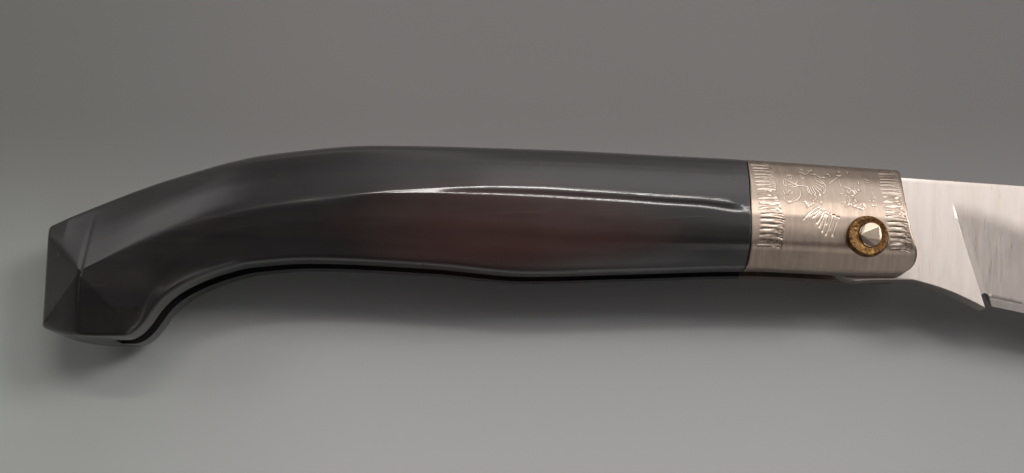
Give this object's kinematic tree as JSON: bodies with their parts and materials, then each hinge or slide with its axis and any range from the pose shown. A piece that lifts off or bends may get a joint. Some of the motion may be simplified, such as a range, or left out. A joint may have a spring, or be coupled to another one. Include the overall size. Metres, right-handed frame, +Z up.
{
  "type": "skinning knife",
  "caption": "Folding skinning knife: slotted black horn handle with a faceted butt, engraved metal collar, rosetted rivet and a bellied blade held by friction.",
  "frame": {"origin": "under the middle of the open knife's box, at the level that the back rivet end reaches", "axes": "+X towards the blade's tip, +Y towards the spine, +Z up out of the side that faces the viewer"},
  "size_m": [0.2212, 0.0296, 0.018],
  "materials": {
    "horn": "satin polished black horn with a brown cast",
    "collar_metal": "satin nickel silver, hand engraved",
    "blade_steel": "fine satin across the blade",
    "rivet_metal": "filed facets",
    "rosette_brass": "aged, punched",
    "washer_bronze": "plain"
  },
  "bodies": {
    "handle_body": {"handle": "horn", "collar": "collar_metal", "pivot_pin": "rivet_metal", "front_rosette": "rosette_brass", "back_rosette": "rosette_brass", "front_shim": "washer_bronze", "back_shim": "washer_bronze"},
    "blade_body": {"blade": "blade_steel"}
  },
  "joints": [
    {"name": "blade_pivot", "type": "hinge", "parent": "handle_body", "child": "blade_body", "pos_m": [0.0056, 0.00019, 0.009], "axis": [0, 0, -1], "range_deg": [0, 175]}
  ]
}
